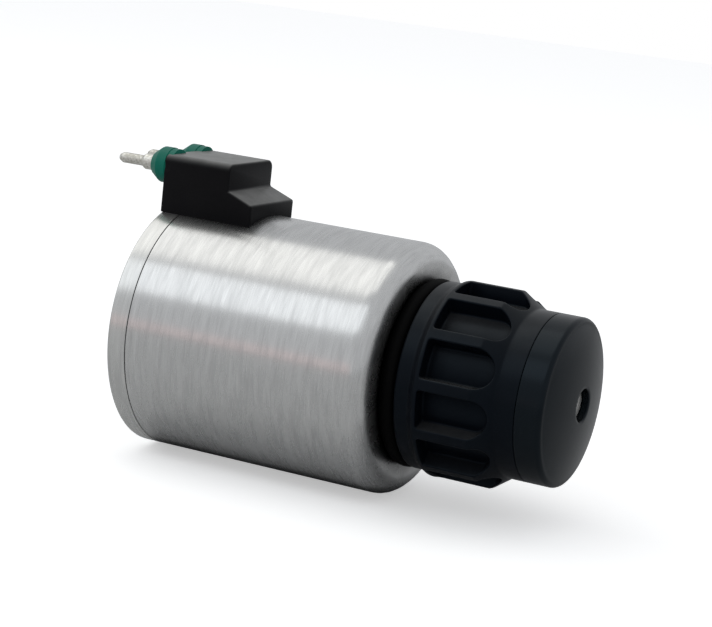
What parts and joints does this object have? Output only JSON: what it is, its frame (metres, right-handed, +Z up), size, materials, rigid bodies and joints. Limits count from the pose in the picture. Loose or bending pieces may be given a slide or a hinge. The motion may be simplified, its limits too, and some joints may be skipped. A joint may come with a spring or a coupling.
{
  "type": "solenoid operator for a cartridge valve",
  "caption": "Round steel-cased valve solenoid with a plug-in terminal block, wet armature tube, ribbed coil nut, domed cap and manual override button.",
  "frame": {"origin": "centre of the back plate's rear face, the plane that meets the valve, on the tube axis", "axes": "+X along the tube axis from the valve face to the override button, +Z up through the terminal block"},
  "size_m": [0.0949, 0.046, 0.0561],
  "materials": {
    "brushed_can": "brushed round the axis, satin",
    "brushed_plate": "brushed rim, turned face",
    "bobbin_nylon": "moulded natural nylon",
    "enamelled_copper": "enamelled wire",
    "potting_resin": "cast",
    "connector_plastic": "moulded, fine grain",
    "tinned_pin": "tin plated, slightly grainy",
    "green_rubber": "satin",
    "plated_steel": "zinc plated, turned",
    "braze_bronze": "turned",
    "tube_steel": "ground",
    "bush_bronze": "sintered",
    "armature_iron": "ground and coated",
    "shim_brass": "rolled",
    "ground_pin": "ground and polished",
    "spring_steel": "drawn wire",
    "button_steel": "polished end",
    "black_rubber": "matte",
    "grip_plastic": "glass-filled nylon, satin",
    "insert_brass": "machined",
    "cap_plastic": "smooth rim, satin face"
  },
  "bodies": {
    "operator": {"coil_can": "brushed_can", "back_plate": "brushed_plate", "bobbin": "bobbin_nylon", "copper_winding": "enamelled_copper", "resin_potting": "potting_resin", "connector_housing": "connector_plastic", "terminal_pin_near": "tinned_pin", "terminal_pin_far": "tinned_pin", "pin_seal_near": "green_rubber", "pin_seal_far": "green_rubber", "lead_wire_near": "enamelled_copper", "lead_wire_far": "enamelled_copper", "pole_piece": "plated_steel", "spacer_ring": "braze_bronze", "guide_tube": "tube_steel", "pin_bush": "bush_bronze", "end_plug": "plated_steel", "armature_spring": "spring_steel", "spring_seat": "plated_steel", "override_spring": "spring_steel", "override_seal": "black_rubber", "front_tube_seal": "black_rubber", "rear_face_seal": "black_rubber"},
    "coil_nut": {"nut_body": "grip_plastic", "nut_insert": "insert_brass", "nut_cap": "cap_plastic"},
    "seal_carriage": {"flange_seal": "black_rubber"},
    "moving_core": {"armature": "armature_iron", "armature_shim": "shim_brass", "push_pin": "ground_pin"},
    "override": {"override_button": "button_steel"}
  },
  "joints": [
    {"name": "nut_travel", "type": "slide", "parent": "operator", "child": "seal_carriage", "axis": [1, 0, 0], "range_m": [0, 0.0105]},
    {"name": "nut_turn", "type": "hinge", "parent": "seal_carriage", "child": "coil_nut", "pos_m": [0.06, 0, 0], "axis": [1, 0, 0], "range_deg": [0, 2520]},
    {"name": "override_press", "type": "slide", "parent": "operator", "child": "override", "axis": [-1, 0, 0], "range_m": [0, 0.003], "stiffness_N_per_m": 400, "springref_m": -0.003, "deforming": ["override_spring"]},
    {"name": "armature_slide", "type": "slide", "parent": "operator", "child": "moving_core", "axis": [-1, 0, 0], "range_m": [0, 0.003], "stiffness_N_per_m": 400, "springref_m": -0.003, "deforming": ["armature_spring"]}
  ],
  "couplings": [
    {"joint": "nut_turn", "follows": "nut_travel", "rad_per_m": 4188.8},
    {"joint": "armature_slide", "follows": "override_press", "ratio": 1}
  ]
}
